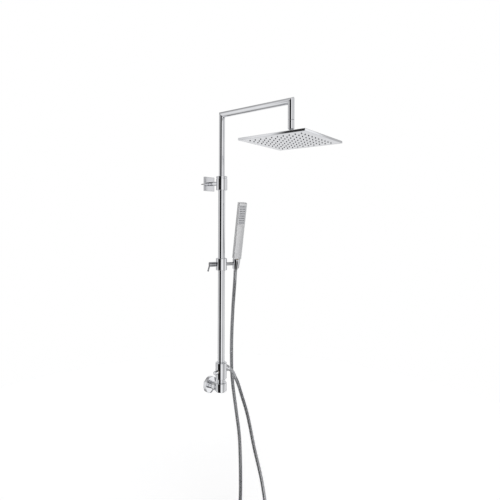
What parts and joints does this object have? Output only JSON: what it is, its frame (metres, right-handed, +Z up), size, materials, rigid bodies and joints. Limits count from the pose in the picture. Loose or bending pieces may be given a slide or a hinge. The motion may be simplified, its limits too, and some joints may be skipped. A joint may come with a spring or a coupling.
{
  "type": "rainfall shower column",
  "caption": "Wall-mounted chrome rainfall shower column with square overhead head on a swivelling telescopic arm, lower diverter, sliding hand shower and hanging metal hose.",
  "frame": {"origin": "centre of the wall inlet, on the wall's surface", "axes": "+Z up along the riser, +Y into the wall, -Y out into the shower, +X to the right as seen from the shower"},
  "size_m": [0.25, 0.529, 1.6091],
  "materials": {
    "chrome": "polished",
    "satin_steel": "satin",
    "brass": "machined",
    "silicone": "matte",
    "black_plastic": "moulded",
    "hose_metal": "spiral-wound polished"
  },
  "bodies": {
    "column": {"wall_rosette": "chrome", "inlet_pipe": "chrome", "inlet_washer": "silicone", "inlet_nut": "chrome", "lower_body": "chrome", "coupling_ring": "chrome", "diverter_body": "chrome", "diverter_gland": "brass", "outlet_nipple": "chrome", "outlet_washer": "silicone", "hose_nut_lower": "chrome", "riser_seal": "silicone", "lower_riser": "chrome", "wall_plate": "chrome", "fixing_plate": "satin_steel", "wall_screw_left": "satin_steel", "wall_screw_right": "satin_steel", "bracket_post": "chrome", "bracket_clamp": "chrome", "clamp_collet": "black_plastic", "lock_screw": "satin_steel", "hose": "hose_metal"},
    "diverter": {"diverter_spindle": "brass", "diverter_knob": "chrome"},
    "telescope": {"piston_bush": "black_plastic", "piston_seal": "silicone"},
    "arm": {"upper_riser": "chrome", "overhead_arm": "chrome", "drop_tube": "chrome", "ball_connector": "chrome"},
    "head_seat": {"ball_seat": "black_plastic"},
    "rain_head": {"swivel_nut": "chrome", "head_cover": "chrome", "flow_strainer": "satin_steel", "spray_face": "satin_steel", "nozzle_mat": "silicone"},
    "slider_carriage": {"slider_bush": "black_plastic"},
    "slider": {"slider_block": "chrome"},
    "clamp_lever": {"lever_knob": "chrome", "lever_handle": "chrome"},
    "holder": {"holder_cup": "chrome"},
    "hand_shower": {"handset_body": "chrome", "handset_face": "satin_steel", "handset_mat": "silicone", "handset_inlet": "brass", "handset_washer": "silicone", "hose_nut_upper": "chrome"}
  },
  "joints": [
    {"name": "diverter_turn", "type": "hinge", "parent": "column", "child": "diverter", "pos_m": [0, -0.07, 0.066], "axis": [-1, 0, 0], "range_deg": [-45, 45]},
    {"name": "column_height", "type": "slide", "parent": "column", "child": "telescope", "axis": [0, 0, 1], "range_m": [-0.04, 0.3]},
    {"name": "arm_swivel", "type": "hinge", "parent": "telescope", "child": "arm", "pos_m": [0, -0.07, 1.031], "axis": [0, 0, 1], "range_deg": [-75, 75]},
    {"name": "head_pitch", "type": "hinge", "parent": "arm", "child": "head_seat", "pos_m": [0, -0.376, 0.922], "axis": [1, 0, 0], "range_deg": [-10, 10]},
    {"name": "head_roll", "type": "hinge", "parent": "head_seat", "child": "rain_head", "pos_m": [0, -0.376, 0.922], "axis": [0, 1, 0], "range_deg": [-10, 10]},
    {"name": "slider_height", "type": "slide", "parent": "column", "child": "slider_carriage", "axis": [0, 0, 1], "range_m": [-0.3, 0.18], "deforming": ["hose"]},
    {"name": "slider_swivel", "type": "hinge", "parent": "slider_carriage", "child": "slider", "pos_m": [0, -0.07, 0.468], "axis": [0, 0, 1], "range_deg": [-60, 60]},
    {"name": "lever_turn", "type": "hinge", "parent": "slider", "child": "clamp_lever", "pos_m": [0, -0.07, 0.468], "axis": [0.8387, -0.5446, 0], "range_deg": [-90, 0]},
    {"name": "holder_tilt", "type": "hinge", "parent": "slider", "child": "holder", "pos_m": [0.04864, -0.10159, 0.468], "axis": [0.8387, -0.5446, 0], "range_deg": [-18, 10]},
    {"name": "handset_lift", "type": "slide", "parent": "holder", "child": "hand_shower", "axis": [-0.1683, -0.2592, 0.9511], "range_m": [0, 0.05]}
  ]
}
